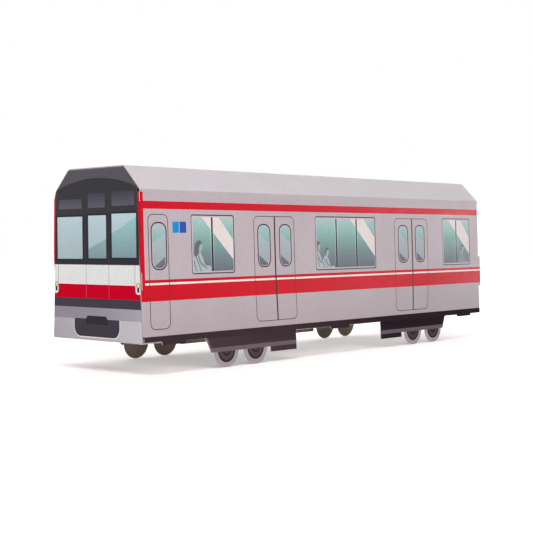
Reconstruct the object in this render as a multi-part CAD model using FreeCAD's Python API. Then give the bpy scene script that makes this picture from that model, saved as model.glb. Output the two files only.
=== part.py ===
import FreeCAD, Part
import math
import os

from FreeCAD import Vector

# Folded card model of a metro car. One printed and die-cut sheet is creased into a six-sided
# sleeve, and each end is closed by a panel that folds up from the floor and tucks in under
# the roof, over two dust flaps. The running gear is cut from the floor and stays in the plane
# of the side walls, so the floor has windows of the same outline. Each panel between two
# creases is one solid.
#
# Millimetres. +X runs along the car from the cab end to the rear, +Z is up, and the left
# side wall is at -Y. The origin is at the bottom centre of the whole model.

# Board
card = 0.6
fold_radius = 1.1
slip = 0.1
overrun = 5.0

# Sleeve section
car_length = 400.0
floor_width = 95.0
shoulder_width = 89.2
roof_width = 57.4
floor_height = 21.0
wall_height = 100.4
roof_rise = 16.0

# Running gear, with distances along the car from its nearer end and drops below the crease
bogie_outer_top = 55.4
bogie_outer_foot = 60.4
bogie_inner = 148.3
frame_drop = 9.9
block_outer = 120.2
block_drop = 13.7
wheel_radius = 12.0
outer_wheel = 74.9
inner_wheel = 104.2

# Stiffening tabs along the bottom crease
end_tab_start = 15.4
end_tab_length = 22.0
middle_tab_length = 23.0
tab_drop = 1.6
tab_slant = 0.8

# Side tabs that stand behind the rear panel's edges
rear_tab_reach = 2.25
rear_tab_low = 24.5
rear_tab_high = 51.0

# Ends
flap_stand = 0.3
shoulder_ease = 1.3
crease_round = 0.35
tuck_droop = 9.0
tuck_length = 16.0
tuck_width = 52.0
tuck_corner = 3.5
dust_low = 3.3
dust_high = 96.8
dust_reach = 33.0
dust_slope = 8.5

# Glue flap inside the right shoulder
glue_width = 12.0
glue_setback = 1.5
glue_end_gap = 3.0

# Places worked out from the sizes above
panel_margin = card + slip
panel_stand = flap_stand + slip + card
sleeve_front = (panel_stand - car_length - rear_tab_reach) / 2
sleeve_rear = sleeve_front + car_length
shoulder_level = floor_height + wall_height
roof_level = shoulder_level + roof_rise
wall_lean = math.atan((floor_width - shoulder_width) / 2 / wall_height)
wall_length = wall_height / math.cos(wall_lean)
fold_setback = fold_radius * math.tan((math.pi / 2 + wall_lean) / 2)
wheel_bottom_drop = (floor_height - card * math.sin(wall_lean)) / math.cos(wall_lean)
wheel_drop = wheel_bottom_drop - wheel_radius
hinge_level = floor_height + card + slip
panel_top = roof_level - card - slip

LEFT, RIGHT = -1, 1
FRONT, REAR = -1, 1
side_names = {LEFT: "left", RIGHT: "right"}
end_names = {FRONT: "front", REAR: "rear"}
FLOOR, RIGHT_WALL, RIGHT_SLOPE, ROOF, LEFT_SLOPE, LEFT_WALL = range(6)


# Wires and solids

def polygon(points):
    """Closed wire through the points."""
    return Part.makePolygon(points + points[:1])


def rounded_loop(points, radius):
    """Closed wire through the points, with a tangent arc of one radius at each corner."""
    edges = []
    ends = []
    for index, corner in enumerate(points):
        back = (points[index - 1] - corner).normalize()
        ahead = (points[(index + 1) % len(points)] - corner).normalize()
        half = back.getAngle(ahead) / 2
        middle = (back + ahead).normalize()
        centre = corner + middle * (radius / math.sin(half))
        start = corner + back * (radius / math.tan(half))
        end = corner + ahead * (radius / math.tan(half))
        edges.append(Part.Arc(start, centre - middle * radius, end).toShape())
        ends.append((start, end))
    for index, (start, end) in enumerate(ends):
        edges.append(Part.LineSegment(ends[index - 1][1], start).toShape())
    return Part.Wire(Part.__sortEdges__(edges))


def prism(wire, travel):
    """Solid swept from a flat wire along a straight line."""
    return Part.Face(wire).extrude(travel)


def inset(points, distances):
    """Corners of a convex section in the YZ plane with each side moved inwards.

    Side number i runs from corner i to the next one, anticlockwise seen from +X."""
    lines = []
    for index, start in enumerate(points):
        along = (points[(index + 1) % len(points)] - start).normalize()
        inwards = Vector(0, -along.z, along.y)
        lines.append((start + inwards * distances[index], along))
    corners = []
    for index, (start, along) in enumerate(lines):
        before, along_before = lines[index - 1]
        gap = start - before
        run = (gap.y * along.z - gap.z * along.y) / (along_before.y * along.z - along_before.z * along.y)
        corners.append(before + along_before * run)
    return corners


def at_x(points, x):
    """The same section points at another place along the car."""
    return [Vector(x, point.y, point.z) for point in points]


def end_x(end, out):
    """Place along the car at a distance out from the front or rear edge of the sleeve."""
    return sleeve_front - out if end == FRONT else sleeve_rear + out


def wall_point(side, x, drop, depth):
    """Point by a side wall: drop runs down its outside from the floor crease, depth inwards."""
    across = floor_width / 2 + drop * math.sin(wall_lean) - depth * math.cos(wall_lean)
    height = floor_height - drop * math.cos(wall_lean) - depth * math.sin(wall_lean)
    return Vector(x, side * across, height)


def wall_prism(side, outline, depth_from=0.0, depth_to=card):
    """Plate in the plane of a side wall. The outline is a function that draws on a given plane."""
    wire = outline(lambda x, drop: wall_point(side, x, drop, depth_from))
    travel = wall_point(side, 0, 0, depth_to) - wall_point(side, 0, 0, depth_from)
    return prism(wire, travel)


def floor_prism(side, outline):
    """Cutter through the floor, with the same outline folded out flat from a side wall."""
    level = floor_height - overrun
    wire = outline(lambda x, drop: Vector(x, side * (floor_width / 2 - drop), level))
    return prism(wire, Vector(0, 0, overrun + fold_radius * 2))


# Outlines of the die-cut running gear and tabs

def block_outline(x_from, x_to, drop_from, drop_to):
    """Rectangle in the plane of a side wall."""
    def draw(place):
        return polygon([place(x_from, drop_from), place(x_to, drop_from),
                        place(x_to, drop_to), place(x_from, drop_to)])
    return draw


def frame_outline(end):
    """Bogie frame with one slanted end, and the deeper equipment block at its inner end."""
    corners = [(bogie_outer_top, 0), (bogie_outer_foot, frame_drop), (block_outer, frame_drop),
               (block_outer, block_drop), (bogie_inner, block_drop), (bogie_inner, 0)]
    def draw(place):
        return polygon([place(end_x(end, -x), drop) for x, drop in corners])
    return draw


def wheel_outline(end, centre):
    """Part of a wheel disc that shows under the bogie frame."""
    half_chord = math.sqrt(wheel_radius ** 2 - (wheel_drop - frame_drop) ** 2)
    def draw(place):
        start = place(end_x(end, half_chord - centre), frame_drop)
        bottom = place(end_x(end, -centre), wheel_bottom_drop)
        finish = place(end_x(end, -half_chord - centre), frame_drop)
        rim = Part.Arc(start, bottom, finish).toShape()
        chord = Part.LineSegment(finish, start).toShape()
        return Part.Wire([rim, chord])
    return draw


def tab_ranges():
    """Start and finish along the car of each stiffening tab."""
    middle = (sleeve_front + sleeve_rear) / 2
    front = end_x(FRONT, -end_tab_start)
    rear = end_x(REAR, -end_tab_start)
    return [(front, front + end_tab_length),
            (middle - middle_tab_length / 2, middle + middle_tab_length / 2),
            (rear - end_tab_length, rear)]


def tab_outline(start, finish):
    """Tab with slanted ends that runs straight on past the crease."""
    def draw(place):
        return polygon([place(start, -fold_setback), place(finish, -fold_setback), place(finish, 0),
                        place(finish - tab_slant, tab_drop), place(start + tab_slant, tab_drop),
                        place(start, 0)])
    return draw


# Sleeve

def section(ease=0.0):
    """Outside corners of the sleeve without its rounding, each shoulder moved inwards by the ease."""
    half_floor, half_shoulder, half_roof = floor_width / 2, shoulder_width / 2 - ease, roof_width / 2
    return [Vector(0, -half_floor, floor_height), Vector(0, half_floor, floor_height),
            Vector(0, half_shoulder, shoulder_level), Vector(0, half_roof, roof_level),
            Vector(0, -half_roof, roof_level), Vector(0, -half_shoulder, shoulder_level)]


def make_sleeve():
    """The whole folded tube, with a bend at each crease."""
    corners = section()
    outside = rounded_loop(at_x(corners, sleeve_front), fold_radius)
    inner_corners = inset(corners, [card] * len(corners))
    inside = rounded_loop(at_x(inner_corners, sleeve_front), fold_radius - card)
    travel = Vector(car_length, 0, 0)
    return prism(outside, travel).cut(prism(inside, travel))


def sleeve_panel(sleeve, side_number):
    """One panel of the sleeve, parted from its neighbours in the middle of each crease."""
    corners = section()
    within = at_x(inset(corners, [overrun] * len(corners)), sleeve_front - overrun)
    beyond = at_x(inset(corners, [-overrun] * len(corners)), sleeve_front - overrun)
    following = (side_number + 1) % len(corners)
    sector = polygon([within[side_number], within[following], beyond[following], beyond[side_number]])
    return sleeve.common(prism(sector, Vector(car_length + overrun * 2, 0, 0)))


def make_side_wall(sleeve, side):
    """Side wall. Where the running gear and tabs are cut, it runs straight on down."""
    wall = sleeve_panel(sleeve, LEFT_WALL if side == LEFT else RIGHT_WALL)
    bogies = [sorted((end_x(end, -bogie_outer_top), end_x(end, -bogie_inner))) for end in (FRONT, REAR)]
    for start, finish in bogies + tab_ranges():
        bend = block_outline(start, finish, -fold_setback, fold_setback)
        wall = wall.cut(wall_prism(side, bend, -fold_radius, overrun))
    for start, finish in bogies:
        wall = wall.fuse(wall_prism(side, block_outline(start, finish, -fold_setback, 0)))
    for start, finish in tab_ranges():
        wall = wall.fuse(wall_prism(side, tab_outline(start, finish)))
    for end in (FRONT, REAR):
        bend_start = end_x(end, flap_stand - fold_radius)
        bend = block_outline(bend_start, end_x(end, overrun), -dust_high, -dust_low)
        wall = wall.cut(wall_prism(side, bend, -fold_radius, overrun))
    rear_tab = block_outline(end_x(REAR, flap_stand - fold_radius), end_x(REAR, rear_tab_reach),
                             -rear_tab_high, -rear_tab_low)
    return wall.fuse(wall_prism(side, rear_tab)).removeSplitter()


def make_floor(sleeve):
    """Floor with the windows that the running gear leaves, and a lip at each end for its panel."""
    floor = sleeve_panel(sleeve, FLOOR)
    for side in (LEFT, RIGHT):
        for end in (FRONT, REAR):
            floor = floor.cut(floor_prism(side, frame_outline(end)))
            for centre in (outer_wheel, inner_wheel):
                floor = floor.cut(floor_prism(side, wheel_outline(end, centre)))
        for start, finish in tab_ranges():
            floor = floor.cut(floor_prism(side, block_outline(start, finish, 0, fold_setback)))
    for end in (FRONT, REAR):
        floor = floor.fuse(make_lip(end))
    return floor.removeSplitter()


def make_lip(end):
    """Strip of the floor that reaches out under an end panel, rounded where it is creased."""
    half_width = floor_width / 2 - panel_margin
    inner, outer = end_x(end, 0), end_x(end, panel_stand)
    rounding = end_x(end, panel_stand - crease_round)
    bulge = crease_round * (1 - math.sqrt(0.5))
    bottom = floor_height
    def place(x, z):
        return Vector(x, -half_width, z)
    arc = Part.Arc(place(rounding, bottom), place(end_x(end, panel_stand - bulge), bottom + bulge),
                   place(outer, bottom + crease_round)).toShape()
    corners = [place(outer, bottom + crease_round), place(outer, bottom + card),
               place(inner, bottom + card), place(inner, bottom), place(rounding, bottom)]
    edges = [Part.LineSegment(a, b).toShape() for a, b in zip(corners, corners[1:])]
    return prism(Part.Wire(Part.__sortEdges__(edges + [arc])), Vector(0, half_width * 2, 0))


def make_glue_flap():
    """Strip glued inside the right roof slope, just above the shoulder crease."""
    corners = inset(section(), [card] * len(section()))
    low, high = corners[RIGHT_SLOPE], corners[ROOF]
    along = (high - low).normalize()
    inwards = Vector(0, -along.z, along.y)
    start = low + along * glue_setback
    finish = start + along * glue_width
    outline = [start, finish, finish + inwards * card, start + inwards * card]
    wire = polygon(at_x(outline, sleeve_front + glue_end_gap))
    return prism(wire, Vector(car_length - glue_end_gap * 2, 0, 0))


# Running gear

def make_bogie_frame(side, end):
    """Bogie frame and equipment block, one flat plate under the side wall."""
    return wall_prism(side, frame_outline(end))


def make_wheels(side, end):
    """The two part discs under one bogie frame."""
    discs = [wall_prism(side, wheel_outline(end, centre)) for centre in (outer_wheel, inner_wheel)]
    return Part.makeCompound(discs)


# Ends

def end_profile_point(end, radius, angle, run=0.0):
    """Point on the section of an end panel's top crease, at an angle from the outward direction."""
    turn = math.radians(angle)
    out = panel_stand - fold_radius + radius * math.cos(turn) - run * math.sin(turn)
    height = panel_top - fold_radius + radius * math.sin(turn) + run * math.cos(turn)
    return Vector(end_x(end, out), -floor_width, height)


def make_end_panel(end):
    """End panel, which stands on the floor's lip and bends over at the top to its tuck flap.

    It is trimmed narrower towards the shoulders, so that it passes them when it is folded up."""
    last = tuck_droop + 90
    def point(radius, angle):
        return end_profile_point(end, radius, angle)
    inner_radius = fold_radius - card
    foot_out = Vector(end_x(end, panel_stand), -floor_width, hinge_level)
    foot_in = Vector(end_x(end, panel_stand - card), -floor_width, hinge_level)
    outer_bend = Part.Arc(point(fold_radius, 0), point(fold_radius, last / 2), point(fold_radius, last))
    inner_bend = Part.Arc(point(inner_radius, 0), point(inner_radius, last / 2), point(inner_radius, last))
    straights = [(foot_out, point(fold_radius, 0)), (foot_in, point(inner_radius, 0)),
                 (foot_in, foot_out), (point(fold_radius, last), point(inner_radius, last))]
    edges = [outer_bend.toShape(), inner_bend.toShape()]
    edges += [Part.LineSegment(a, b).toShape() for a, b in straights]
    band = prism(Part.Wire(Part.__sortEdges__(edges)), Vector(0, floor_width * 2, 0))
    margins = [0, panel_margin, panel_margin, 0, panel_margin, panel_margin]
    face = polygon(at_x(inset(section(shoulder_ease), margins), end_x(end, -overrun)))
    return band.common(prism(face, Vector(end * overrun * 2, 0, 0)))


def make_tuck_flap(end):
    """Flap that slopes down and back from the panel's top crease, under the roof."""
    last = tuck_droop + 90
    inner_radius = fold_radius - card
    corners = [end_profile_point(end, fold_radius, last), end_profile_point(end, fold_radius, last, tuck_length),
               end_profile_point(end, inner_radius, last, tuck_length), end_profile_point(end, inner_radius, last)]
    strip = prism(polygon(corners), Vector(0, floor_width * 2, 0))
    tip = corners[1].x
    far = end_x(end, overrun)
    half_width = tuck_width / 2
    level = panel_top - tuck_length
    outline = [Vector(far, -half_width, level), Vector(far, half_width, level),
               Vector(tip, half_width, level), Vector(tip, -half_width, level)]
    return strip.common(prism(rounded_loop(outline, tuck_corner), Vector(0, 0, tuck_length * 2)))


def make_dust_flap(side, end):
    """Flap folded in from a side wall behind the end panel, with sloping top and bottom edges."""
    bend_start = flap_stand - fold_radius
    inner_radius = fold_radius - card
    half_turn = math.sqrt(0.5)
    def place(out, depth):
        return wall_point(side, end_x(end, out), -dust_low, depth)
    def bend(radius):
        return Part.Arc(place(bend_start, fold_radius - radius),
                        place(bend_start + radius * half_turn, fold_radius - radius * half_turn),
                        place(bend_start + radius, fold_radius)).toShape()
    straights = [(place(bend_start, 0), place(bend_start, card)),
                 (place(flap_stand, fold_radius), place(flap_stand, dust_reach)),
                 (place(flap_stand, dust_reach), place(flap_stand - card, dust_reach)),
                 (place(flap_stand - card, dust_reach), place(flap_stand - card, fold_radius))]
    edges = [Part.LineSegment(a, b).toShape() for a, b in straights]
    edges += [bend(fold_radius), bend(inner_radius)]
    up = wall_point(side, 0, -dust_high, 0) - wall_point(side, 0, -dust_low, 0)
    flap = prism(Part.Wire(Part.__sortEdges__(edges)), up)
    start = end_x(end, -overrun)
    shape = [(-dust_low, -dust_reach), (-dust_low, fold_radius), (-dust_low - dust_slope, dust_reach),
             (-dust_high + dust_slope, dust_reach), (-dust_high, fold_radius), (-dust_high, -dust_reach)]
    outline = polygon([wall_point(side, start, drop, depth) for drop, depth in shape])
    flap = flap.common(prism(outline, Vector(end * overrun * 2, 0, 0)))
    if end == REAR:
        cut = block_outline(end_x(REAR, bend_start), end_x(REAR, overrun), -rear_tab_high, -rear_tab_low)
        flap = flap.cut(wall_prism(side, cut, -fold_radius, rear_tab_reach + fold_radius))
    return flap


def make_parts():
    """Every sub-part by its name."""
    sleeve = make_sleeve()
    parts = {
        "floor_panel": make_floor(sleeve),
        "roof_panel": sleeve_panel(sleeve, ROOF),
        "roof_slope_left": sleeve_panel(sleeve, LEFT_SLOPE),
        "roof_slope_right": sleeve_panel(sleeve, RIGHT_SLOPE),
        "glue_flap": make_glue_flap(),
    }
    for side, side_name in side_names.items():
        parts["side_wall_" + side_name] = make_side_wall(sleeve, side)
        for end, end_name in end_names.items():
            place = end_name + "_" + side_name
            parts["bogie_frame_" + place] = make_bogie_frame(side, end)
            parts["wheels_" + place] = make_wheels(side, end)
            parts[end_name + "_dust_flap_" + side_name] = make_dust_flap(side, end)
    for end, end_name in end_names.items():
        parts[end_name + "_panel"] = make_end_panel(end)
        parts[end_name + "_tuck_flap"] = make_tuck_flap(end)
    return parts


def main():
    os.makedirs("parts", exist_ok=True)
    for name, shape in make_parts().items():
        shape.exportStep("parts/" + name + ".step")
        print(name, len(shape.Solids), "solid", round(shape.Volume, 1), "valid", shape.isValid())


main()
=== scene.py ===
from math import asin, atan, cos, degrees, exp, hypot, inf, pi, radians, sin, tan

import bpy
from mathutils import Matrix, Vector
from mathutils.geometry import delaunay_2d_cdt


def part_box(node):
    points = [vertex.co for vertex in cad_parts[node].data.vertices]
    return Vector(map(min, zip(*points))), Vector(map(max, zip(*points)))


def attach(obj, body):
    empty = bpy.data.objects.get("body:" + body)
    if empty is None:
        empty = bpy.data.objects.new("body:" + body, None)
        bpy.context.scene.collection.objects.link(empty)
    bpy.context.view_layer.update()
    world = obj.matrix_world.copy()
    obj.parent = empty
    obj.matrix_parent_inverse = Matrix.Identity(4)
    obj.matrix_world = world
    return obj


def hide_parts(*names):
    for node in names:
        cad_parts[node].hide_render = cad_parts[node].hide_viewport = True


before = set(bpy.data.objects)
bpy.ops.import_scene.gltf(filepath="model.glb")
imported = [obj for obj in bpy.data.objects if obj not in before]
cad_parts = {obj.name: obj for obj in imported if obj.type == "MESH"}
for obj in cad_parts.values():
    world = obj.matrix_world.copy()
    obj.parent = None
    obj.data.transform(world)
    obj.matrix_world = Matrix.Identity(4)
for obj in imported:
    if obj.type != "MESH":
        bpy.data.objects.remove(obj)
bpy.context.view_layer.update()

# Folded card model of a metro car. Each panel is one sheet of card with a printed face, a raw brown
# back and a pale cut edge, bent along its creases. Every patch of ink is cut into the face's mesh.
# Sizes are in millimetres, and those of the stage, lamps and camera in metres. Prints are drawn
# flat, seen from outside.

MM = 0.001

# Card and sleeve, as in the part's source
card = 0.6
fold_radius = 1.1
floor_width = 95.0
shoulder_width = 89.2
roof_width = 57.4
wall_height = 100.4
roof_rise = 16.0

# Running gear
bogie_outer_top = 55.4
bogie_outer_foot = 60.4
bogie_inner = 148.3
frame_drop = 9.9
block_outer = 120.2
block_drop = 13.7
wheel_radius = 12.0
outer_wheel = 74.9
inner_wheel = 104.2
end_tab_start = 15.4
end_tab_length = 22.0
middle_tab_length = 23.0
tab_drop = 1.6
tab_slant = 0.8

# Ends
rear_tab_reach = 2.25
rear_tab_low = 24.5
rear_tab_high = 51.0
flap_stand = 0.3
shoulder_ease = 1.3
slip = 0.1
panel_margin = card + slip
panel_stand = flap_stand + slip + card
tuck_droop = 9.0
tuck_length = 16.0
tuck_width = 52.0
tuck_corner = 3.5
dust_low = 3.3
dust_high = 98.6
dust_reach = 33.0
dust_slope = 8.5
glue_width = 12.0
glue_setback = 1.5
glue_end_gap = 3.0

# Places worked out from the sizes above and from the frame
roof_box = [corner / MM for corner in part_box("roof_panel")]
sleeve_front = roof_box[0].x
sleeve_rear = roof_box[1].x
car_length = sleeve_rear - sleeve_front
floor_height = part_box("floor_panel")[0].z / MM
shoulder_level = floor_height + wall_height
roof_level = shoulder_level + roof_rise
wall_lean = atan((floor_width - shoulder_width) / 2 / wall_height)
wall_length = wall_height / cos(wall_lean)
wheel_drop = (floor_height - card * sin(wall_lean)) / cos(wall_lean) - wheel_radius
hinge_level = floor_height + card + slip
panel_straight = roof_level - card - slip - fold_radius - hinge_level
panel_bend = fold_radius * radians(90 + tuck_droop)
dust_bend = fold_radius * pi / 2

LEFT, RIGHT = -1, 1
FRONT, REAR = -1, 1
side_names = {LEFT: "left", RIGHT: "right"}
end_names = {FRONT: "front", REAR: "rear"}
sleeve_ends = {FRONT: sleeve_front, REAR: sleeve_rear}

# How far ink and holes are drawn past an edge, and half the width of a slit
overrun = 1.0
half_slit = 0.04


# Where a point of the flat card lies on the folded model. Each surface takes a point of the
# print and gives the point of the printed face and the direction it looks in.

levels = [(floor_width, floor_height), (shoulder_width, shoulder_level), (roof_width, roof_level)]
right_half = [Vector((0, width / 2, level)) for width, level in levels]
left_half = [Vector((0, -width / 2, level)) for width, level in levels]
section = left_half[:1] + right_half + left_half[:0:-1]
section_middle = sum(section, Vector()) / len(section)

# Corners of the section that each panel runs between, the lower one first on walls and slopes
wall_corners = {LEFT: (0, 5), RIGHT: (1, 2)}
roof_corners = {"roof_slope_left": (5, 4), "roof_slope_right": (2, 3), "roof_panel": (4, 3)}


def half_turn(corner):
    before = section[corner] - section[corner - 1]
    after = section[(corner + 1) % len(section)] - section[corner]
    return before.angle(after) / 2


def setback(corner):
    """How far from its sharp corner a bend starts."""
    return fold_radius * tan(half_turn(corner))


floor_setback = setback(0)


def zero_everywhere(x, s):
    return 0.0


def sleeve_surface(low, high, bow=zero_everywhere, straight=()):
    """One panel of the sleeve: x along the car, s across it from the low crease to the high one.

    Where x is in a straight range, the card runs straight on past the low crease."""
    start, finish = section[low], section[high]
    across = (finish - start).normalized()
    outward = Vector((0, -across.z, across.y))
    if outward.dot(start - section_middle) < 0:
        outward.negate()
    length = (finish - start).length
    bends = [(start, across, half_turn(low), setback(low)), (finish, -across, half_turn(high), setback(high))]
    step = 0.5

    def place(x, s):
        along = Vector((sleeve_front + x, 0, 0))
        runs_on = s < 0 or any(a <= x <= b for a, b in straight)
        for gap, (corner, inward, turn, reach) in zip((inf if runs_on else s, length - s), bends):
            if gap < reach:
                angle = (1 - gap / reach) * turn
                normal = outward * cos(angle) - inward * sin(angle)
                centre = along + corner + inward * reach - outward * fold_radius
                return centre + normal * fold_radius, normal
        lift = bow(x, s)
        slope_x = (bow(x + step, s) - lift) / step
        slope_s = (bow(x, s + step) - lift) / step
        normal = (outward - Vector((slope_x, 0, 0)) - across * slope_s).normalized()
        return along + start + across * s + outward * lift, normal
    return place


def ease(share):
    """Goes from 0 to 1 with a slow start and a slow end."""
    share = min(max(share, 0.0), 1.0)
    return share * share * (3 - 2 * share)


def gentle_bow(swells):
    """Slow swelling of a wall of thin card, none at its creases and ends."""
    foot_span, top_span, end_span = 46.0, 20.0, 25.0

    def bow(x, s):
        hold = ease(s / foot_span) * ease((wall_length - s) / top_span)
        hold *= ease(x / end_span) * ease((car_length - x) / end_span)
        return hold * sum(rise * exp(-((x - middle) / reach) ** 2) for middle, reach, rise in swells)
    return bow


def wall_flare(x, s):
    """The right wall springs outwards at its front edge, pushed by its dust flap."""
    rise, reach, foot, foot_span, top_span = 1.6, 22.0, 47.5, 8.0, 4.5
    hold = ease((s - foot) / foot_span) * ease((wall_length - s) / top_span)
    return rise * exp(-(x / reach) ** 2) * hold


def end_surface(end):
    """End panel and its tuck flap: u to the right seen from outside, v up from the hinge."""
    last = radians(90 + tuck_droop)

    def place(u, v):
        angle = min(max((v - panel_straight) / fold_radius, 0.0), last)
        rise = min(v, panel_straight) + hinge_level
        run = max(v - panel_straight - panel_bend, 0.0)
        out = panel_stand - fold_radius + fold_radius * cos(angle) - run * sin(angle)
        height = rise + fold_radius * sin(angle) + run * cos(angle)
        normal = Vector((end * cos(angle), 0, sin(angle)))
        return Vector((sleeve_ends[end] + end * out, end * u, height)), normal
    return place


def dust_surface(side, end):
    """Dust flap: t round the bend and inwards, s up the wall from the floor crease."""
    foot = Vector((sleeve_ends[end], side * floor_width / 2, floor_height))
    upward = Vector((0, -side * sin(wall_lean), cos(wall_lean)))
    outward = Vector((0, side * cos(wall_lean), sin(wall_lean)))
    endward = Vector((end, 0, 0))

    def place(t, s):
        angle = min(t, dust_bend) / fold_radius
        run = max(t - dust_bend, 0.0)
        out = flap_stand - fold_radius + fold_radius * sin(angle)
        depth = fold_radius * (1 - cos(angle)) + run
        if (side, end) == (RIGHT, FRONT):
            depth -= wall_flare(fold_radius - flap_stand, s)
        normal = outward * cos(angle) + endward * sin(angle)
        return foot + endward * out + upward * s - outward * depth, normal
    return place


# Shapes to draw with

def steps(start, finish, count):
    """Evenly spaced numbers, both ends among them."""
    return [start + (finish - start) * step / count for step in range(count + 1)]


def box(left, right, low, high):
    return [(left, low), (right, low), (right, high), (left, high)]


def arc(x, y, radius, start, finish, count):
    """Points on an arc from one angle to another, in degrees."""
    angles = [radians(angle) for angle in steps(start, finish, count)]
    return [(x + radius * cos(angle), y + radius * sin(angle)) for angle in angles]


def circle(x, y, radius, count):
    return arc(x, y, radius, 0, 360 - 360 / count, count - 1)


def rounded(left, right, low, high, radius, corners="1111"):
    """Rectangle with rounded corners, from the low right one anticlockwise; 0 leaves one sharp."""
    corner_steps = 6
    places = [(right, low, -1, 1), (right, high, -1, -1), (left, high, 1, -1), (left, low, 1, 1)]
    points = []
    for number, (x, y, way_x, way_y) in enumerate(places):
        if corners[number] == "1":
            start = 90 * number - 90
            points += arc(x + way_x * radius, y + way_y * radius, radius, start, start + 90, corner_steps)
        else:
            points.append((x, y))
    return points


def smooth(points):
    """Closed curve through the points."""
    spans = 4
    curve = []
    for index in range(len(points)):
        near = [points[(index + step) % len(points)] for step in (-1, 0, 1, 2)]
        for step in range(spans):
            t = step / spans
            weights = (-t + 2 * t ** 2 - t ** 3, 2 - 5 * t ** 2 + 3 * t ** 3,
                       t + 4 * t ** 2 - 3 * t ** 3, t ** 3 - t ** 2)
            curve.append(tuple(sum(w * p[axis] for w, p in zip(weights, near)) / 2 for axis in (0, 1)))
    return curve


def inset(sides, by):
    """Left, right, low and high of a rectangle with each side moved inwards."""
    left, right, low, high = sides
    return left + by, right - by, low + by, high - by


def along_car(points, end):
    """Points given from the nearer end of the car, as places from its front."""
    return points if end == FRONT else [(car_length - x, y) for x, y in points]


class Print:
    """Flat outline of a piece of card, with its inks. What is drawn last lies on top.

    The outline is in millimetres. The artwork has units of its own, to be scaled and shifted."""

    def __init__(self, outline, ink, scale=(1.0, 1.0), shift=(0.0, 0.0)):
        self.scale, self.shift = scale, shift
        self.loops, self.lines, self.holes = [], [], set()
        self.outline = self.loop(outline)
        self.layers = [(ink, {self.outline}, set())]

    def loop(self, points):
        """Keeps a loop, turned anticlockwise, and gives its number."""
        after = points[1:] + points[:1]
        area = sum(a[0] * b[1] - b[0] * a[1] for a, b in zip(points, after))
        self.loops.append(points if area > 0 else points[::-1])
        return len(self.loops) - 1

    def placed(self, points):
        return [(x * self.scale[0] + self.shift[0], y * self.scale[1] + self.shift[1]) for x, y in points]

    def draw(self, ink, points, inside=(), outside=()):
        """Fills a loop, only inside or outside of other loops if they are given."""
        number = self.loop(self.placed(points))
        self.layers.append((ink, {number, *inside}, set(outside)))
        return number

    def hole(self, points):
        self.holes.add(self.loop(points))

    def grid(self, xs, ys):
        """Lines for the mesh to follow, so that bends and swellings come out round."""
        reach = 10.0
        across, up = zip(*(point for loop in self.loops for point in loop))
        left, right, low, high = inset((min(across), max(across), min(up), max(up)), -reach)
        self.lines += [((x, low), (x, high)) for x in xs]
        self.lines += [((left, y), (right, y)) for y in ys]

    def regions(self):
        """Flat points, and triangles each with the ink that lies on top there."""
        all_triangles, merge_distance = 0, 1e-4
        points, faces, edges = [], [], []
        for loop in self.loops:
            faces.append([len(points) + place for place in range(len(loop))])
            points += loop
        for ends in self.lines:
            edges.append((len(points), len(points) + 1))
            points += ends
        corners = [Vector(point) for point in points]
        made = delaunay_2d_cdt(corners, edges, faces, all_triangles, merge_distance)
        flat, _, triangles, _, _, owners = made
        kept = []
        for triangle, owner in zip(triangles, owners):
            owner = set(owner)
            if self.outline in owner and not owner & self.holes:
                ink = next(ink for ink, inside, outside in reversed(self.layers)
                           if inside <= owner and not outside & owner)
                kept.append((triangle, ink))
        return flat, kept


# Lines that the meshes follow: along the car, up its walls, and up its ends
column_pitch = 12.5
columns = [column_pitch * number for number in range(1, round(car_length / column_pitch))]
wall_rows = steps(12.0, 96.0, 8)
end_rows = steps(11.0, 103.0, 8) + steps(panel_straight, panel_straight + panel_bend, 6)


def bend_rows(corner):
    """Distances from a crease that follow its bend."""
    parts = 4
    return [setback(corner) * part / parts for part in range(1, parts + 1)]


# Inks and card stock

def srgb(red, green, blue):
    """Linear colour of an sRGB one given in 0 to 255."""
    levels = [level / 255 for level in (red, green, blue)]
    linear = [((level + 0.055) / 1.055) ** 2.4 if level > 0.04045 else level / 12.92 for level in levels]
    return linear + [1.0]


def feed(tree, node, inputs):
    """Sets a node's inputs to values or links them to sockets."""
    for name, value in inputs.items():
        if isinstance(value, bpy.types.NodeSocket):
            tree.links.new(value, node.inputs[name])
        else:
            node.inputs[name].default_value = value


def add(tree, kind, inputs, **settings):
    """Adds a shader node, with its inputs and settings."""
    made = tree.nodes.new("ShaderNode" + kind)
    for name, value in settings.items():
        setattr(made, name, value)
    feed(tree, made, inputs)
    return made


def math_node(tree, operation, *values, **settings):
    return add(tree, "Math", dict(enumerate(values)), operation=operation, **settings).outputs[0]


def ramp(tree, value, places, shares=(0.0, 1.0)):
    """Goes from the first share to the second while the value goes from the first place to the second."""
    names = ("Value", "From Min", "From Max", "To Min", "To Max")
    return add(tree, "MapRange", dict(zip(names, (value, *places, *shares)))).outputs["Result"]


def noise(tree, where, scale, detail, low=0.0, high=1.0):
    """Noise with its middle range stretched between two values."""
    middle_range = (0.3, 0.7)
    made = add(tree, "TexNoise", {"Vector": where, "Scale": scale, "Detail": detail})
    return ramp(tree, made.outputs["Fac"], middle_range, (low, high))


def mix(tree, share, first, second):
    """Mix of two colours, by the numbers of the sockets that the node has for colours."""
    sockets, colour_out = (0, 6, 7), 2
    inputs = dict(zip(sockets, (share, first, second)))
    return add(tree, "Mix", inputs, data_type="RGBA").outputs[colour_out]


def lightened(tree, colour, value):
    return add(tree, "HueSaturation", {"Value": value, "Color": colour}).outputs["Color"]


def bump(tree, height, strength, distance, under=None):
    """Relief of a height, over another relief if one is given. The distance is in metres."""
    inputs = {"Strength": strength, "Distance": distance, "Height": height}
    if under:
        inputs["Normal"] = under
    return add(tree, "Bump", inputs).outputs[0]


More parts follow.
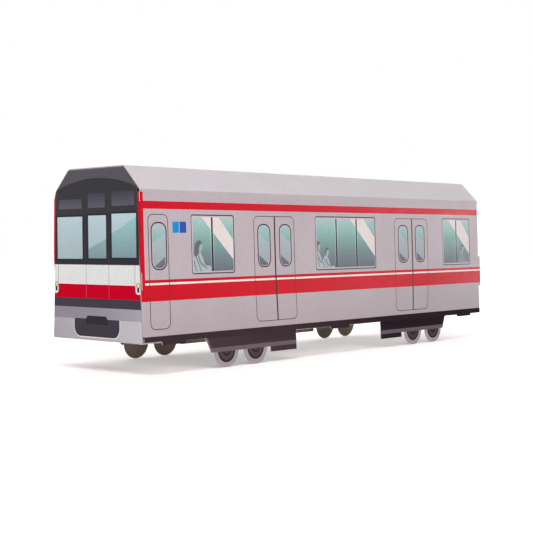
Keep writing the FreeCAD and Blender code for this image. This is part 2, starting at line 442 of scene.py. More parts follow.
def blank_material(name):
    """New material with its nodes, its shader and the place of each point."""
    material = bpy.data.materials.new(name)
    material.use_nodes = True
    tree = material.node_tree
    where = add(tree, "TexCoord", {}).outputs["Object"]
    return material, tree, tree.nodes["Principled BSDF"], where


def by_place(tree, where, stops, axis):
    """Colour that changes along an axis of the frame, from stops of place, red, green and blue."""
    low, high = stops[0][0], stops[-1][0]
    place = add(tree, "SeparateXYZ", {"Vector": where}).outputs[axis]
    blend = add(tree, "ValToRGB", {"Fac": ramp(tree, place, (low * MM, high * MM))})
    elements = blend.color_ramp.elements
    elements[0].color = srgb(*stops[0][1:])
    elements[1].color = srgb(*stops[-1][1:])
    for stop, *colour in stops[1:-1]:
        elements.new((stop - low) / (high - low)).color = srgb(*colour)
    return blend.outputs["Color"]


def ink_material(name, colour):
    """Lightly varnished print, with flecks of bare paper where the mesh says that it is worn."""
    material, tree, shader, where = blank_material(name)
    if isinstance(colour, list):
        base = by_place(tree, where, colour, ink_axes.get(name, "Z"))
    else:
        base = srgb(*colour)
    tone = math_node(tree, "MULTIPLY", noise(tree, where, *ink_clouds), noise(tree, where, *ink_grain))
    wear = add(tree, "Attribute", {}, attribute_name="wear").outputs["Fac"]
    worn = math_node(tree, "MULTIPLY", wear, noise(tree, where, *wear_flecks), use_clamp=True)
    fibres = bump(tree, noise(tree, where, *paper_fibres), *fibre_relief)
    feed(tree, shader, {
        "Base Color": mix(tree, worn, lightened(tree, base, tone), srgb(*bare_paper)),
        "Roughness": noise(tree, where, *varnish_roughness),
        "Specular IOR Level": 0.0 if name in matt_inks else varnish_shine,
        "Normal": bump(tree, noise(tree, where, *paper_waves), *wave_relief, fibres),
    })
    return material


def board_material(name, dark, light, fibre_scale, roughness):
    """Unprinted board with short fibres lying along the car."""
    material, tree, shader, where = blank_material(name)
    along = add(tree, "Mapping", {"Vector": where, "Scale": fibre_stretch}).outputs[0]
    fibres = noise(tree, along, fibre_scale, fibre_detail)
    face = mix(tree, fibres, srgb(*dark), srgb(*light))
    feed(tree, shader, {
        "Base Color": lightened(tree, face, noise(tree, where, *board_clouds)),
        "Roughness": roughness,
        "Specular IOR Level": board_shine,
        "Normal": bump(tree, fibres, *board_relief),
    })
    return material


# Noises: scale, detail, and the values that they go between if not 0 and 1
ink_clouds = (45, 3.0, 0.975, 1.025)
ink_grain = (700, 2.0, 0.95, 1.05)
wear_flecks = (600, 4.0, 0.1, 1.0)
varnish_roughness = (120, 3.0, 0.33, 0.43)
paper_fibres = (900, 3.0)
paper_waves = (22, 1.0)
board_clouds = (60, 3.0, 0.94, 1.06)

# Reliefs: strength, and distance in metres
fibre_relief = (0.25, 0.00003)
wave_relief = (0.5, 0.0002)
board_relief = (0.4, 0.00006)

fibre_stretch, fibre_detail = (0.3, 1.0, 1.0), 5.0
varnish_shine, board_shine = 0.07, 0.2
bare_paper = (228, 221, 217)

# Colours are sRGB. A list gives stops: a place and the colour there, by height unless ink_axes says
# another axis.
matt_inks = ("roof_top", "underframe_dark", "bogie_dark", "bogie_edge", "wheel_dark", "wheel_face", "cab_red")
ink_axes = {"cab_beam": "Y", "cab_skirt": "Y", "underframe_dark": "X", "bogie_dark": "X"}
inks = {
    # body_grey is a little darker towards the floor and at the very top: painted shade on the plain grey
    # print
    "body_grey": [(24, 181, 170, 174), (45, 186, 175, 180), (62, 190, 179, 185), (108, 190, 179, 185),
                  (121, 188, 176, 181)],
    "roof_grey": (189, 183, 187),
    "roof_top": (192, 186, 190),
    "stripe_red": (206, 6, 34),
    "stripe_white": (240, 236, 233),
    # On the front left dust flap's bend: a pale line that is partly worn card and partly painted highlight,
    # and a dark red stretch of painted shade
    "crease_pale": (214, 196, 192),
    "crease_red": (120, 46, 46),
    # underframe_dark is lighter towards the front and darker towards the rear: painted light falling off
    # along the car
    "underframe_dark": [(-200, 62, 49, 55), (-60, 66, 52, 58), (60, 52, 40, 48)],
    # The two floor crease inks are painted highlights where the bend of the floor crease faces the white
    # floor: grey at the front, dimmer and browner between the bogies
    "crease_grey": (176, 170, 174),
    "crease_brown": (104, 92, 92),
    "line_dark": (72, 54, 64),
    "door_line": (62, 46, 55),
    "joint_dark": (44, 34, 40),
    "window_frame": (206, 190, 197),
    "window_glass": [(66, 106, 110, 122), (78, 120, 140, 144), (89, 132, 172, 167), (96, 150, 190, 186),
                     (104, 176, 200, 202)],
    "window_shine": (230, 221, 219),
    "bar_light": [(66, 128, 138, 146), (80, 150, 176, 174), (92, 186, 212, 208), (104, 204, 218, 216)],
    "door_glass_high": [(87, 134, 180, 176), (100, 174, 197, 198)],
    "door_glass_mid": [(72, 163, 169, 176), (92, 169, 188, 192)],
    "door_glass_low": [(69, 96, 102, 112), (79, 120, 128, 134)],
    "figure_hair": (98, 110, 115),
    "figure_skin": (166, 178, 182),
    "figure_coat": (176, 186, 190),
    "figure_coat_deep": (140, 150, 154),
    "figure_fold": (124, 132, 140),
    "sign_light_blue": (10, 142, 212),
    "sign_dark_blue": (44, 82, 166),
    "cab_dark": (54, 53, 59),
    # cab_crown, the paler top of the front, is partly print and partly painted reflection
    "cab_crown": (88, 84, 92),
    "cab_sign": [(110, 96, 93, 106), (120.5, 64, 62, 73)],
    "cab_band": (43, 41, 47),
    "cab_frame": (30, 34, 42),
    "cab_joint": (49, 47, 54),
    "cab_glass_light": [(74, 170, 188, 195), (105, 192, 214, 220)],
    "cab_glass_deep": [(74, 128, 148, 158), (102, 158, 204, 202)],
    "cab_glass_shade": (140, 158, 166),
    "cab_white": (233, 233, 233),
    "cab_line": (134, 135, 138),
    "cab_red": (206, 10, 42),
    "cab_red_line": (196, 84, 98),
    "cab_slate": (60, 57, 69),
    # panel_edge, the cut edge of the end panels, is pale board below and dark brown higher up, partly the
    # edge's own colour and partly painted shade of the gap beside the sleeve
    "panel_edge": [(62, 176, 168, 170), (84, 96, 80, 72)],
    # cab_beam and cab_skirt are lighter towards the near side, at negative Y: painted light
    "cab_beam": [(-47, 174, 169, 178), (0, 152, 146, 156), (47, 146, 140, 150)],
    "cab_skirt": [(-47, 202, 198, 205), (0, 190, 186, 192), (47, 174, 170, 177)],
    "cab_mouth": (58, 54, 66),
    "cab_coupler": (38, 36, 46),
    "lamp_yellow": (236, 226, 160),
    "lamp_black": (10, 10, 14),
    # bogie_dark is lighter at the front bogie and darker at the rear one: painted light falling off along the
    # car
    "bogie_dark": [(-200, 78, 63, 68), (-60, 74, 59, 64), (60, 50, 39, 46), (200, 46, 35, 42)],
    "bogie_edge": (114, 101, 108),
    "wheel_ring": (169, 158, 164),
    "wheel_dark": (58, 44, 51),
    "wheel_face": (86, 72, 80),
}

# Unprinted board: its dark and light colours, the scale of its fibres, and its roughness
boards = {
    "raw_back": ((186, 168, 152), (214, 197, 181), 700, 0.8),
    "raw_edge": ((190, 176, 172), (222, 210, 206), 1500, 0.8),
    "raw_white": ((206, 203, 200), (226, 223, 220), 900, 0.7),
}
materials = {name: ink_material(name, colour) for name, colour in inks.items()}
materials.update({name: board_material(name, *stock) for name, stock in boards.items()})


# Meshes

def placed_object(name, data):
    made = bpy.data.objects.new(name, data)
    bpy.context.collection.objects.link(made)
    return made


def card_faces(triangles, points, directions, edge):
    """Printed, back and rim faces of a card, with their looks and the directions at their corners.

    The points of the back follow those of the printed face in the same order."""
    count = len(directions)
    first = triangles[0][0]
    turn = (points[first[1]] - points[first[0]]).cross(points[first[2]] - points[first[0]])
    flipped = turn.dot(directions[first[0]]) < 0
    faces, looks, normals = [], [], []
    edges = set()
    for corners, ink in triangles:
        if flipped:
            corners = corners[::-1]
        faces += [corners, [corner + count for corner in corners[::-1]]]
        looks += [ink, "raw_back"]
        normals += [directions[corner] for corner in corners]
        normals += [-directions[corner] for corner in corners[::-1]]
        edges.update(zip(corners, corners[1:] + corners[:1]))
    for start, finish in sorted(edges):
        if (finish, start) not in edges:
            rim = [finish, start, start + count, finish + count]
            faces.append(rim)
            looks.append(edge)
            along = points[start] - points[finish]
            normals += [along.cross(points[start + count] - points[start]).normalized()] * len(rim)
    return faces, looks, normals


def make_card(name, art, surface, slot, wear=zero_everywhere, body="sleeve", edge="raw_edge", title=None):
    """Sheet of printed card that stands for the part's node of that name."""
    flat, kept = art.regions()
    used = sorted({corner for triangle, _ in kept for corner in triangle})
    order = {corner: place for place, corner in enumerate(used)}
    spots = [surface(flat[corner].x, flat[corner].y) for corner in used]
    points = [point * MM for point, _ in spots] + [(point - normal * card) * MM for point, normal in spots]
    directions = [normal for _, normal in spots]
    triangles = [([order[corner] for corner in triangle], ink) for triangle, ink in kept]
    faces, looks, normals = card_faces(triangles, points, directions, edge)

    mesh = bpy.data.meshes.new(name + "_card")
    mesh.from_pydata(points, [], faces)
    palette = sorted(set(looks))
    for look in palette:
        mesh.materials.append(materials[look])
    mesh.polygons.foreach_set("material_index", [palette.index(look) for look in looks])
    mesh.polygons.foreach_set("use_smooth", [True] * len(faces))
    worn = [wear(flat[corner].x, flat[corner].y) for corner in used] * 2
    mesh.attributes.new("wear", "FLOAT", "POINT").data.foreach_set("value", worn)
    mesh.normals_split_custom_set(normals)
    piece = placed_object(title or name + "_card", mesh)
    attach(piece, body)
    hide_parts(name)


# Side print: x from the front edge and s up from the floor crease. Boxes are left, right, low and
# high. The artwork is drawn a little taller than the wall, and squeezed onto it.

side_squeeze = 0.9425
side_scale = (1.0, side_squeeze)
side_shift = (-0.4, -side_squeeze)

side_stripes = [("stripe_red", 94.0, 99.4), ("stripe_red", 42.7, 44.85), ("stripe_white", 41.25, 42.7),
                ("stripe_red", 30.0, 41.25)]
underframe_band = (-4.0, 5.8)
front_edge_strip = (-1.0, 2.7, 38.0, 105.7)
blue_plates = [("sign_light_blue", (28.0, 33.8, 77.4, 85.3)), ("sign_dark_blue", (34.4, 40.4, 77.4, 85.3))]

# Doors: the door's box, its windows' boxes, the way the light falls, and where two leaves meet
side_doors = [
    ((6.2, 24.0, 10.3, 90.5), [(8.5, 22.5, 51.5, 85.0)], -1, None),
    ((107.0, 151.0, 10.0, 90.3), [(110.8, 124.8, 51.2, 84.3), (134.1, 147.6, 51.2, 84.3)], 1, 129.5),
    ((273.8, 319.0, 9.0, 90.0), [(278.5, 292.3, 51.0, 84.3), (301.6, 314.8, 51.0, 84.3)], 1, 297.6),
]

# Saloon windows: the window's box, its bars, and where the reflection meets the top and right edges
side_windows = [
    ((44.8, 86.8, 47.7, 90.6), [64.8], (54.8, 71.6, 72.8, 57.8)),
    ((174.8, 248.8, 47.2, 90.8), [199.8, 224.5], (217.0, 234.0, 73.4, 57.5)),
    ((341.0, 386.4, 47.5, 90.7), [363.6], (351.5, 371.4, 73.4, 57.6)),
]

# Seated passenger looking to the right, from the foot of the back, in units of the figure's size
figure_body = [(-2, -6), (-0.8, 6), (0.8, 11.4), (3.6, 13.6), (6.8, 12.4), (9.2, 8.2), (11.2, 4.0),
               (16.5, 3.0), (18.5, -6)]
figure_folds = [
    [(5.0, 11.0), (7.4, 6.0), (12.6, 2.4), (12.9, 1.5), (6.9, 4.6), (4.2, 10.2)],
    [(1.6, 10.4), (4.2, 5.6), (6.4, -0.5), (7.2, -0.5), (5.0, 5.8), (2.4, 10.9)],
    [(-0.4, 7.2), (1.0, 3.2), (2.2, -1.0), (3.0, -1.0), (1.8, 3.6), (0.3, 7.8)],
]
figure_head = [(3.9, 12.4), (4.5, 16.0), (5.0, 19.8), (7.4, 20.2), (8.5, 18.2), (8.3, 15.9), (7.3, 14.7),
               (6.5, 12.2)]
long_hair = [(1.0, 11.2), (0.8, 15.4), (1.8, 19.6), (4.8, 22.0), (7.6, 21.2), (8.1, 19.6), (6.2, 18.8),
             (5.4, 16.2), (5.0, 12.8), (3.0, 10.6)]
short_hair = [(3.2, 16.2), (3.2, 19.6), (5.4, 21.8), (7.8, 21.2), (8.2, 19.6), (6.2, 19.2), (5.2, 17.2),
              (4.6, 15.2)]

# Passengers in each saloon window: x, s, size, and the coat and hair if not the usual ones
side_figures = {
    LEFT: ([(46.6, 50.0, 1.0)], [(172.6, 50.5, 0.92), (183.2, 47.6, 0.82, "figure_coat", short_hair)],
           [(368.5, 48.5, 0.82, "figure_coat_deep", short_hair)]),
    RIGHT: ([(52.0, 49.0, 0.95)], [(203.0, 49.0, 1.0, "figure_coat_deep", short_hair)],
            [(346.0, 49.5, 0.95), (368.0, 48.5, 0.8, "figure_coat_deep", short_hair)]),
}

# Swellings of the walls: middle, reach and rise
wall_swells = {
    LEFT: [(130, 60, -1.2), (205, 45, -0.5), (332, 42, 1.75)],
    RIGHT: [(110, 70, 0.8), (290, 80, -0.9)],
}

# Where the walls run straight on past the floor crease, as tabs and as running gear
middle_tab = ((car_length - middle_tab_length) / 2, (car_length + middle_tab_length) / 2)
tab_ranges = [(end_tab_start, end_tab_start + end_tab_length), middle_tab,
              (car_length - end_tab_start - end_tab_length, car_length - end_tab_start)]
bogie_ranges = [(bogie_outer_top, bogie_inner), (car_length - bogie_inner, car_length - bogie_outer_top)]
straight_ranges = sorted(tab_ranges + bogie_ranges)


def wall_outline():
    """Side wall unfolded, slit where it runs straight on past the floor crease."""
    def slit(x):
        return [(x - half_slit, 0), (x, floor_setback), (x + half_slit, 0)]

    points = [(0, 0)]
    for start, finish in straight_ranges:
        points += slit(start)
        if (start, finish) in tab_ranges:
            points += [(start + tab_slant, -tab_drop), (finish - tab_slant, -tab_drop)]
        points += slit(finish)
    near = fold_radius - flap_stand
    far = car_length - near
    points += [(car_length, 0), (car_length, dust_low), (far, dust_low), (far, rear_tab_low),
               (car_length + rear_tab_reach, rear_tab_low), (car_length + rear_tab_reach, rear_tab_high),
               (far, rear_tab_high), (far, dust_high), (car_length, dust_high), (car_length, wall_length)]
    points += [(0, wall_length), (0, dust_high), (near, dust_high), (near, dust_low), (0, dust_low)]
    return points


def draw_figure(art, glass, x, s, size, coat="figure_coat", hair=long_hair):
    """Plain grey passenger behind the glass, with no face."""
    shapes = [(coat, figure_body)] + [("figure_fold", fold) for fold in figure_folds]
    shapes += [("figure_skin", figure_head), ("figure_hair", hair)]
    for ink, points in shapes:
        art.draw(ink, smooth([(x + u * size, s + v * size) for u, v in points]), [glass])


def draw_window(art, sides, bars, shine=None, figures=()):
    """Saloon window: dark outline that is wider above and to the right, pale frame, glass, bars.

    Shine is a white reflection that falls from two places on the top edge to two on the right one."""
    line, heavy_line, rim, right_rim, half_bar, half_light = 0.6, 0.9, 1.0, 0.6, 0.8, 1.6
    outer_radius, inner_radius = 2.0, 1.5
    art.draw("line_dark", rounded(*sides, outer_radius))
    left, right, low, high = inset(sides, heavy_line)
    art.draw("window_frame", rounded(left + line - heavy_line, right, low, high, inner_radius))
    left, right, low, high = left + line - heavy_line + rim, right - right_rim, low + rim, high - rim
    glass = art.draw("window_glass", box(left, right, low, high))
    for figure in figures:
        draw_figure(art, glass, *figure)
    for bar in bars:
        art.draw("bar_light", box(bar - half_light, bar + half_light, low, high))
    if shine:
        top_left, top_right, side_high, side_low = shine
        band = [(top_left, high), (top_right, high), (right, side_high), (right, side_low)]
        art.draw("window_shine", band, [glass])
    for bar in bars:
        art.draw("joint_dark", box(bar - half_bar, bar + half_bar, low, high))


def draw_door_window(art, sides, falls):
    """Tall window with round ends and slanting light; falls is 1 if the light falls to the right."""
    line, rim, radius_share, slant = 1.0, 0.5, 0.42, 0.72
    light_foot, shade_top, beyond = 22.5, 5.5, 9.0
    left, right, low, high = sides
    width = right - left
    radius = width * radius_share
    art.draw("door_line", rounded(*sides, radius))
    art.draw("window_frame", rounded(*inset(sides, line), radius - line))
    glass = art.draw("door_glass_mid", rounded(*inset(sides, line + rim), radius - line - rim))
    middle = (left + right) / 2
    start, finish = middle - width, middle + width
    rise = -slant * falls * width
    for ink, level, edge in (("door_glass_high", low + light_foot, high + beyond),
                             ("door_glass_low", low + shade_top, low - beyond)):
        band = [(start, level - rise), (finish, level + rise), (finish, edge), (start, edge)]
        art.draw(ink, band, [glass])


def draw_door(art, sides, windows, falls, split):
    """Door outline, with a dark joint where two leaves meet."""
    line, half_joint, radius = 0.55, 0.7, 4.5
    hollow = art.loop(art.placed(rounded(*inset(sides, line), radius - line)))
    art.draw("door_line", rounded(*sides, radius), outside=[hollow])
    if split:
        low, high = sides[2:]
        art.draw("joint_dark", box(split - half_joint, split + half_joint, low, high))
    for window in windows:
        draw_door_window(art, window, falls)


def side_print(figures):
    past_rear_tab, crease_foot, grey_highlight_top, brown_highlight_top = 3.0, -2.0, 2.0, 1.5
    band_ends = (-overrun, car_length + past_rear_tab)
    art = Print(wall_outline(), "body_grey", side_scale, side_shift)
    art.draw("underframe_dark", box(*band_ends, *underframe_band))
    # Painted highlights along the bend of the floor crease, grey at the front and dimmer between the bogies
    art.draw("crease_grey", box(-overrun, end_tab_start, crease_foot, grey_highlight_top))
    for start, finish in ((bogie_inner, middle_tab[0]), (middle_tab[1], car_length - bogie_inner)):
        art.draw("crease_brown", box(start, finish, crease_foot, brown_highlight_top))
    for ink, low, high in side_stripes:
        art.draw(ink, box(*band_ends, low, high))
    art.draw("stripe_red", box(*front_edge_strip))
    for door in side_doors:
        draw_door(art, *door)
    for ink, sides in blue_plates:
        art.draw(ink, box(*sides))
    for window, passengers in zip(side_windows, figures):
        draw_window(art, *window, passengers)
    art.grid(columns, bend_rows(0) + [wall_length - row for row in [0.0] + bend_rows(2)] + wall_rows)
    return art


def fold_wear(length, straight=()):
    """Ink cracked and rubbed along the creases at both sides of a panel, where it is creased."""
    reach, most = 0.5, 0.3

    def wear(x, s):
        low = length if any(a <= x <= b for a, b in straight) else abs(s)
        return max(0.0, 1 - min(low, abs(length - s)) / reach) * most
    return wear


def make_side_walls():
    left_bow, right_bow = (gentle_bow(wall_swells[side]) for side in (LEFT, RIGHT))
    bows = {LEFT: left_bow, RIGHT: lambda x, s: right_bow(x, s) + wall_flare(x, s)}
    wear = fold_wear(wall_length, straight_ranges)
    for side, name in side_names.items():
        surface = sleeve_surface(*wall_corners[side], bows[side], straight_ranges)
        art = side_print(side_figures[side])
        make_card("side_wall_" + name, art, surface, "side_print", wear)


def make_roof():
    inner_share = 0.2
    for name, (low, high) in roof_corners.items():
        across = (section[high] - section[low]).length
        art = Print(box(0, car_length, 0, across), "roof_top" if name == "roof_panel" else "roof_grey")
        rows = bend_rows(low) + [across - row for row in bend_rows(high)]
        rows += steps(across * inner_share, across * (1 - inner_share), 3)
        art.grid(columns, rows)
        make_card(name, art, sleeve_surface(low, high), "roof_print", fold_wear(across))


# Running gear: x from the nearer end of the car, drop below the floor crease

wheel_rings = [("wheel_dark", 8.6), ("wheel_face", 7.2), ("wheel_dark", 4.1), ("wheel_face", 2.5)]
tread_steps, ring_points, lamp_points = 28, 36, 24
frame_shape = [(bogie_outer_top, 0), (bogie_outer_foot, -frame_drop), (block_outer, -frame_drop),
               (block_outer, -block_drop), (bogie_inner, -block_drop), (bogie_inner, 0)]


def wheel_points(centre):
    """The part of a disc that shows below the bogie frame."""
    dip = degrees(asin((frame_drop - wheel_drop) / wheel_radius))
    return arc(centre, -wheel_drop, wheel_radius, 180 + dip, 360 - dip, tread_steps)


def bogie_print(end):
    """Dark frame with a paler strip along its outer end and its foot."""
    pale_end, dark_drop = 1.3, 6.9
    art = Print(along_car(frame_shape, end), "bogie_edge")
    slant = (bogie_outer_foot - bogie_outer_top) / frame_drop
    start, finish = bogie_outer_top + pale_end, bogie_inner + overrun
    upper_part = [(start, overrun), (start + slant * dark_drop, -dark_drop), (finish, -dark_drop),
                  (finish, overrun)]
    block = box(block_outer - overrun, finish, -block_drop - overrun, -frame_drop)
    for shape in (upper_part, block):
        art.draw("bogie_dark", along_car(shape, end))
    return art


def wheel_print(end, centre):
    """Rings on a wheel: a pale tread, a dark disc and its hub."""
    art = Print(along_car(wheel_points(centre), end), "wheel_ring")
    for ink, radius in wheel_rings:
        art.draw(ink, along_car(circle(centre, -wheel_drop, radius, ring_points), end))
    return art


def make_running_gear():
    for side, side_name in side_names.items():
        surface = sleeve_surface(*wall_corners[side], straight=straight_ranges)
        for end, end_name in end_names.items():
            place = end_name + "_" + side_name
            make_card("bogie_frame_" + place, bogie_print(end), surface, "running_gear_print")
            for centre, which in ((outer_wheel, "outer"), (inner_wheel, "inner")):
                make_card("wheels_" + place, wheel_print(end, centre), surface, "wheel_print",
                          title="wheel_" + place + "_" + which)


def make_floor():
    """Floor with the windows that the running gear leaves, and a lip at each end for its panel."""
    low, high = panel_margin, floor_width - panel_margin
    front, rear = -panel_stand, car_length + panel_stand
    outline = [(front, low), (0, low), (0, 0), (car_length, 0), (car_length, low), (rear, low),
               (rear, high), (car_length, high), (car_length, floor_width), (0, floor_width),
               (0, high), (front, high)]
    art = Print(outline, "raw_white")
    frame_hole = [(bogie_outer_top, overrun)] + frame_shape + [(bogie_inner, overrun)]
    for end in (FRONT, REAR):
        for shape in [frame_hole] + [wheel_points(centre) for centre in (outer_wheel, inner_wheel)]:
            window = [(x, -s) for x, s in along_car(shape, end)]
            art.hole(window)
            art.hole([(x, floor_width - s) for x, s in window])
    for start, finish in tab_ranges:
        art.hole(box(start, finish, -overrun, floor_setback))
        art.hole(box(start, finish, floor_width - floor_setback, floor_width + overrun))
    art.grid([], bend_rows(0) + [floor_width - row for row in bend_rows(0)])
    make_card("floor_panel", art, sleeve_surface(0, 1), "underside_print", fold_wear(floor_width))


def make_glue_flap():
    """Strip glued inside the right roof slope, just above the shoulder crease."""
    corners = roof_corners["roof_slope_right"]
    slope = sleeve_surface(*corners)

    def place(x, s):
        point, normal = slope(x, s)
        return point - normal * card, normal
    start = glue_setback + setback(corners[0]) * (1 - card / fold_radius)
    art = Print(box(glue_end_gap, car_length - glue_end_gap, start, start + glue_width), "raw_white")
    make_card("glue_flap", art, place, "raw_board")


# End prints: u to the right and v up from the hinge. Boxes are left, right, low and high, and bands
# are low and high.

end_reach = 60.0
front_scale, front_shift = (0.8655, 0.9414), (0.3, 0.5)
rear_scale = (0.8655, side_squeeze)

cab_bands = {"cab_band": (52.9, 88.5), "cab_white": (38.8, 52.9), "cab_red": (28.8, 38.8),
             "cab_slate": (22.3, 28.8), "cab_beam": (14.0, 22.3), "cab_skirt": (-1.0, 14.0)}
cab_signs = [(-45.7, -17.0, 93.3, 100.1), (-9.0, 11.5, 93.5, 103.8), (19.7, 46.2, 94.3, 104.3)]

# Cab windows: the box, then the ink and the levels at left and right of a slanting reflection
cab_windows = [
    ((-48.0, -16.2, 57.1, 87.5), "cab_glass_shade", 55.0, 59.0),
    ((-8.8, 12.8, 57.5, 88.0), "cab_glass_deep", 64.1, 71.3),
    ((19.5, 47.8, 58.1, 88.8), "cab_glass_deep", 74.8, 86.3),
]
lamp_plates = [((-end_reach, -47.5, 31.8, 45.0), "1000"), ((46.5, end_reach, 32.8, 45.0), "0001")]
lamps = [(-50.0, 38.2), (49.6, 38.8)]

# Upright joints: their places, half width and band
cab_joints = {
    "cab_joint": ((-13.0, 15.7), 1.2, (53.8, 90.0)),
    "cab_line": ((-47.5, -12.0, 15.7, 46.0), 0.225, cab_bands["cab_white"]),
    "cab_red_line": ((-12.0, 15.7), 0.225, cab_bands["cab_red"]),
}
mouth_rim = (-28.0, 28.2, 0.8, 14.2)
mouth = (-27.4, 27.6, 1.4, 14.2)
coupler = [(-13, 10.4), (13.6, 10.4), (13.6, 14.2), (11.4, 16.4), (-10.8, 16.4), (-13, 14.2)]

rear_stripe_drop = 1.6
rear_underframe = (-end_reach, end_reach, -1.0, 5.1)
gangway_door = ((-14.0, 14.0, 9.0, 103.0), [(-8.0, 8.0, 52.0, 88.0)], 1, None)
rear_windows = [(-45.0, -20.0, 50.0, 88.0), (20.0, 45.0, 50.0, 88.0)]


def end_outline():
    """End panel with its top bend flattened out.

    It lies inside the section by a margin, and its sides are a little steeper."""
    half_floor, half_shoulder, half_roof = floor_width / 2, shoulder_width / 2, roof_width / 2
    wall_tilt = (half_floor - half_shoulder + shoulder_ease) / wall_height
    slope_tilt = (half_shoulder - half_roof) / roof_rise
    wall_foot = half_floor - panel_margin * hypot(1, wall_tilt)
    slope_top = half_roof - panel_margin * hypot(1, slope_tilt)
    wall_line = wall_foot + floor_height * wall_tilt
    slope_line = slope_top + roof_level * slope_tilt
    shoulder = (slope_line - wall_line) / (slope_tilt - wall_tilt)
    levels = [0, shoulder - hinge_level, panel_straight]
    levels += steps(panel_straight, panel_straight + panel_bend, 5)[1:]
    right = []
    for v in levels:
        angle = max(v - panel_straight, 0.0) / fold_radius
        height = hinge_level + min(v, panel_straight) + fold_radius * sin(angle)
        right.append((min(wall_line - height * wall_tilt, slope_line - height * slope_tilt), v))
    return right + [(-u, v) for u, v in reversed(right)]


def draw_cab_window(art, sides, ink, at_left, at_right):
    """Cab window in a near-black frame, with a slanting reflection."""
    frame_line, frame_radius = 1.3, 0.8
    left, right, low = sides[:3]
    art.draw("cab_frame", rounded(*inset(sides, -frame_line), frame_radius))
    glass = art.draw("cab_glass_light", box(*sides))
    art.draw(ink, [(left, at_left), (right, at_right), (right, low), (left, low)], [glass])


def draw_lamp(art, u, v):
    """Pale lamp over a dark socket."""
    half_socket, socket_top, socket_foot, socket_radius = 1.1, 1.2, 4.6, 0.6
    rim_radius, glow_radius, glow_rise = 2.1, 1.6, 0.2
    socket = rounded(u - half_socket, u + half_socket, v - socket_foot, v - socket_top, socket_radius)
    art.draw("lamp_black", socket)
    art.draw("lamp_black", circle(u, v, rim_radius, lamp_points))
    art.draw("lamp_yellow", circle(u, v + glow_rise, glow_radius, lamp_points))


def front_print():
    """Cab front: dark top with signs and windows, then white, red and grey bands with lamps."""
    plate_radius, rim_radius, mouth_radius = 2.5, 7.5, 7.0
    crown_level, crown_radius, crown_top, crown_steps = 114.6, 162.0, 140.0, 24
    art = Print(end_outline(), "cab_dark", front_scale, front_shift)
    # Paler crown at the top, partly print and partly painted reflection
    curve = [(u, crown_level - u * u / 2 / crown_radius) for u in steps(-end_reach, end_reach, crown_steps)]
    art.draw("cab_crown", curve + [(end_reach, crown_top), (-end_reach, crown_top)])
    for ink, band in cab_bands.items():
        art.draw(ink, box(-end_reach, end_reach, *band))
    for sign in cab_signs:
        art.draw("cab_sign", box(*sign))
    for sides, corners in lamp_plates:
        art.draw("cab_white", rounded(*sides, plate_radius, corners))
    for ink, (places, half_width, band) in cab_joints.items():
        for place in places:
            art.draw(ink, box(place - half_width, place + half_width, *band))
    for window in cab_windows:
        draw_cab_window(art, *window)
    for lamp in lamps:
        draw_lamp(art, *lamp)
    art.draw("stripe_white", rounded(*mouth_rim, rim_radius, "1001"))
    art.draw("cab_mouth", rounded(*mouth, mouth_radius, "1001"))
    art.draw("cab_coupler", coupler)
    return art


def rear_print():
    """Plain end with a gangway door between two windows."""
    art = Print(end_outline(), "body_grey", rear_scale)
    art.draw("underframe_dark", box(*rear_underframe))
    for ink, low, high in side_stripes:
        art.draw(ink, box(-end_reach, end_reach, low - rear_stripe_drop, high - rear_stripe_drop))
    draw_door(art, *gangway_door)
    for sides in rear_windows:
        draw_window(art, sides, [])
    return art


def make_ends():
    top = panel_straight + panel_bend
    tuck_sides = (-tuck_width / 2, tuck_width / 2, top, top + tuck_length)
    for end, art, slot in ((FRONT, front_print(), "cab_print"), (REAR, rear_print(), "rear_print")):
        end_name, surface = end_names[end], end_surface(end)
        body = end_name + "_flap"
        art.grid([], end_rows)
        make_card(end_name + "_panel", art, surface, slot, body=body, edge="panel_edge")
        tuck = Print(rounded(*tuck_sides, tuck_corner, "0110"), "raw_white")
        make_card(end_name + "_tuck_flap", tuck, surface, "raw_board", body=body)
        for side, side_name in side_names.items():
            make_dust_flap(side, end, end_name + "_dust_flap_" + side_name)


def make_dust_flap(side, end, name):
    """Flap behind an end panel, with the side's stripes round its bend. The front one is red above."""
    bleed, red_foot, red_top, crease_start, crease_end = 5.0, 38.0, 110.0, 0.95, 1.3
    bend_highlight_and_shade = [("crease_pale", red_foot, 50.0), ("crease_red", 72.0, 99.0),
                   ("crease_pale", 99.0, red_top)]
    reach = dust_bend + dust_reach - fold_radius
    outline = [(0, dust_low), (dust_bend, dust_low), (reach, dust_low + dust_slope),
               (reach, dust_high - dust_slope), (dust_bend, dust_high), (0, dust_high)]
    art = Print(outline, "body_grey", side_scale, (0.0, -side_squeeze))
    art.draw("underframe_dark", box(-overrun, bleed, *underframe_band))
    for ink, low, high in side_stripes:
        art.draw(ink, box(-overrun, bleed, low, high))
    if end == FRONT:
        art.draw("stripe_red", box(-overrun, reach + overrun, red_foot, red_top))
        # The front left flap's bend gets a pale line, partly worn card and partly painted highlight, and a
        # dark red stretch of painted shade
        if side == LEFT:
            for ink, low, high in bend_highlight_and_shade:
                art.draw(ink, box(crease_start, crease_end, low, high))
    else:
        art.hole(box(-overrun, rear_tab_reach + dust_bend, rear_tab_low, rear_tab_high))
    art.grid(steps(0, dust_bend, 5)[1:], wall_rows)
    slot = "red_flap_print" if end == FRONT else "side_print"
    make_card(name, art, dust_surface(side, end), slot)


# Floor, light and camera, in metres

